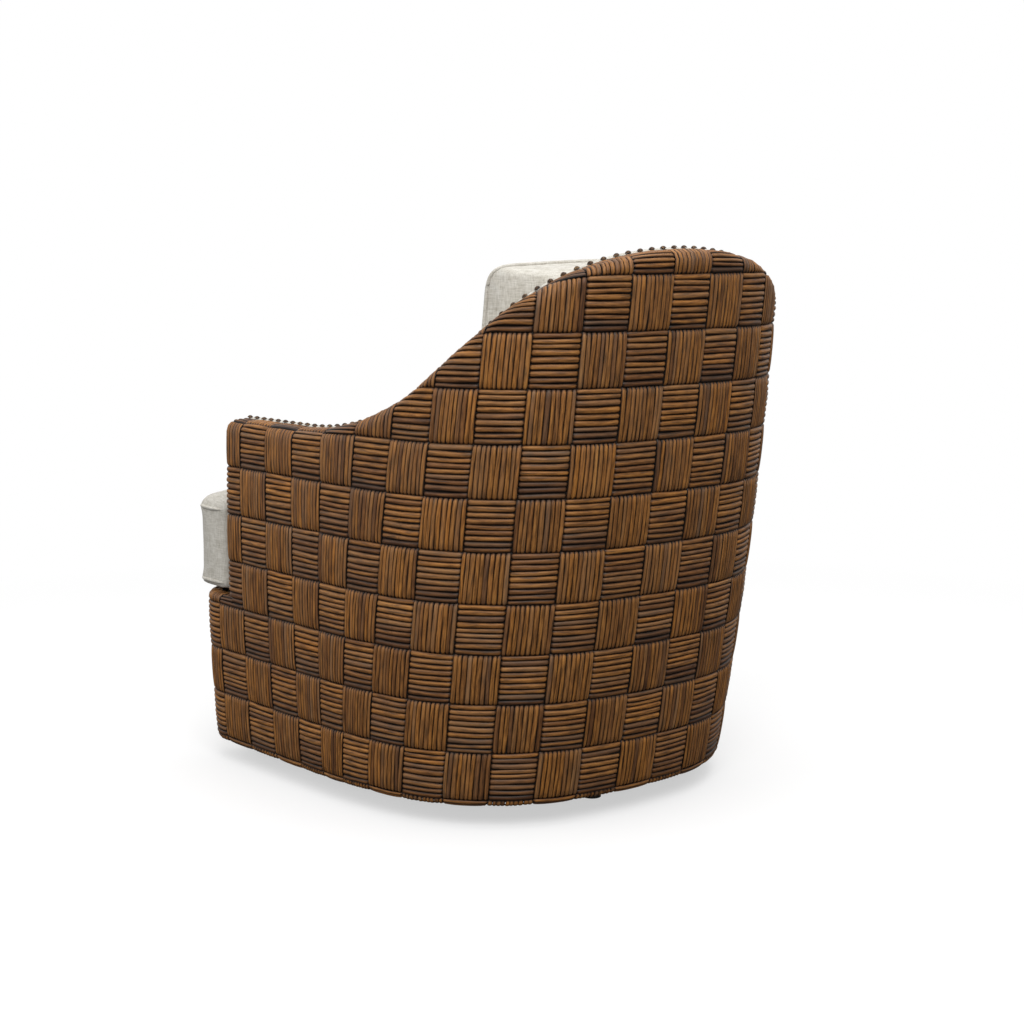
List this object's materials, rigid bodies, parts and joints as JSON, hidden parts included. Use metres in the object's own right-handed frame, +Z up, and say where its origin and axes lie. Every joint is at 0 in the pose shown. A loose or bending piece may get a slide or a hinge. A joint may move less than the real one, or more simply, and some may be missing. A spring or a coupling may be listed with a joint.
{
  "type": "swivel rocker",
  "caption": "Barrel armchair with a woven basket-weave shell, loose seat and back cushions and a nailhead rim, on a swivel and rocker base.",
  "frame": {"origin": "on the floor under the centre of the bounding box, on the swivel axis", "axes": "+Z up, -Y to the front of the seat, +X to the sitter's left"},
  "size_m": [0.7828, 0.86, 0.887],
  "materials": {
    "woven_bark": "satin",
    "linen": "matte",
    "bronze_nail": "antiqued",
    "frame_hardwood": "sawn",
    "backing_plywood": "sawn",
    "black_cambric": "matte",
    "black_steel": "satin",
    "zinc_steel": "zinc plated",
    "spring_steel": "oiled",
    "ball_chrome": "polished",
    "bush_nylon": "moulded",
    "glide_plastic": "moulded"
  },
  "bodies": {
    "floor_base": {"floor_glides": "glide_plastic", "base_ring": "black_steel", "base_cross": "black_steel", "hub_plate": "black_steel", "hub_bolts": "zinc_steel", "lower_race": "zinc_steel", "king_bolt": "zinc_steel", "king_washer": "zinc_steel", "king_nut": "zinc_steel"},
    "turntable": {"turntable_plate": "black_steel", "upper_race": "zinc_steel", "bearing_balls": "ball_chrome", "ball_cage": "zinc_steel", "pivot_cheek_left": "black_steel", "pivot_cheek_right": "black_steel", "pivot_bushes": "bush_nylon", "cheek_bolts": "zinc_steel", "lower_spring_cups": "black_steel"},
    "chair": {"hanger_left": "black_steel", "hanger_right": "black_steel", "rocker_rail_left": "black_steel", "rocker_rail_right": "black_steel", "rocker_bar_front": "black_steel", "rocker_bar_rear": "black_steel", "upper_spring_cups": "black_steel", "pivot_rod": "zinc_steel", "rod_nuts": "zinc_steel", "lag_screws": "zinc_steel", "spring_clips": "zinc_steel", "rod_spacers": "bush_nylon", "rocker_springs_front": "spring_steel", "rocker_springs_rear": "spring_steel", "seat_springs": "spring_steel", "weave_back": "woven_bark", "weave_left": "woven_bark", "weave_right": "woven_bark", "weave_front": "woven_bark", "weave_arm_front_left": "woven_bark", "weave_arm_front_right": "woven_bark", "rim_rail": "frame_hardwood", "bottom_rail": "frame_hardwood", "slat_rail": "frame_hardwood", "deck_rail": "frame_hardwood", "arm_posts": "frame_hardwood", "wing_posts": "frame_hardwood", "back_posts": "frame_hardwood", "slat_front": "frame_hardwood", "slat_rear": "frame_hardwood", "seat_rail_front": "frame_hardwood", "seat_rail_rear": "frame_hardwood", "backing_board": "backing_plywood", "lining_back": "linen", "lining_left": "linen", "lining_right": "linen", "seat_cushion": "linen", "back_cushion": "linen", "deck_cloth": "black_cambric", "dust_cover": "black_cambric", "nailheads": "bronze_nail"}
  },
  "joints": [
    {"name": "swivel", "type": "hinge", "parent": "floor_base", "child": "turntable", "pos_m": [0, 0, 0.043], "axis": [0, 0, 1], "continuous": true},
    {"name": "rock", "type": "hinge", "parent": "turntable", "child": "chair", "pos_m": [0, 0, 0.1], "axis": [1, 0, 0], "range_deg": [-3.5, 3.5], "stiffness_Nm_per_rad": 900, "deforming": ["rocker_springs_front", "rocker_springs_rear"]}
  ]
}
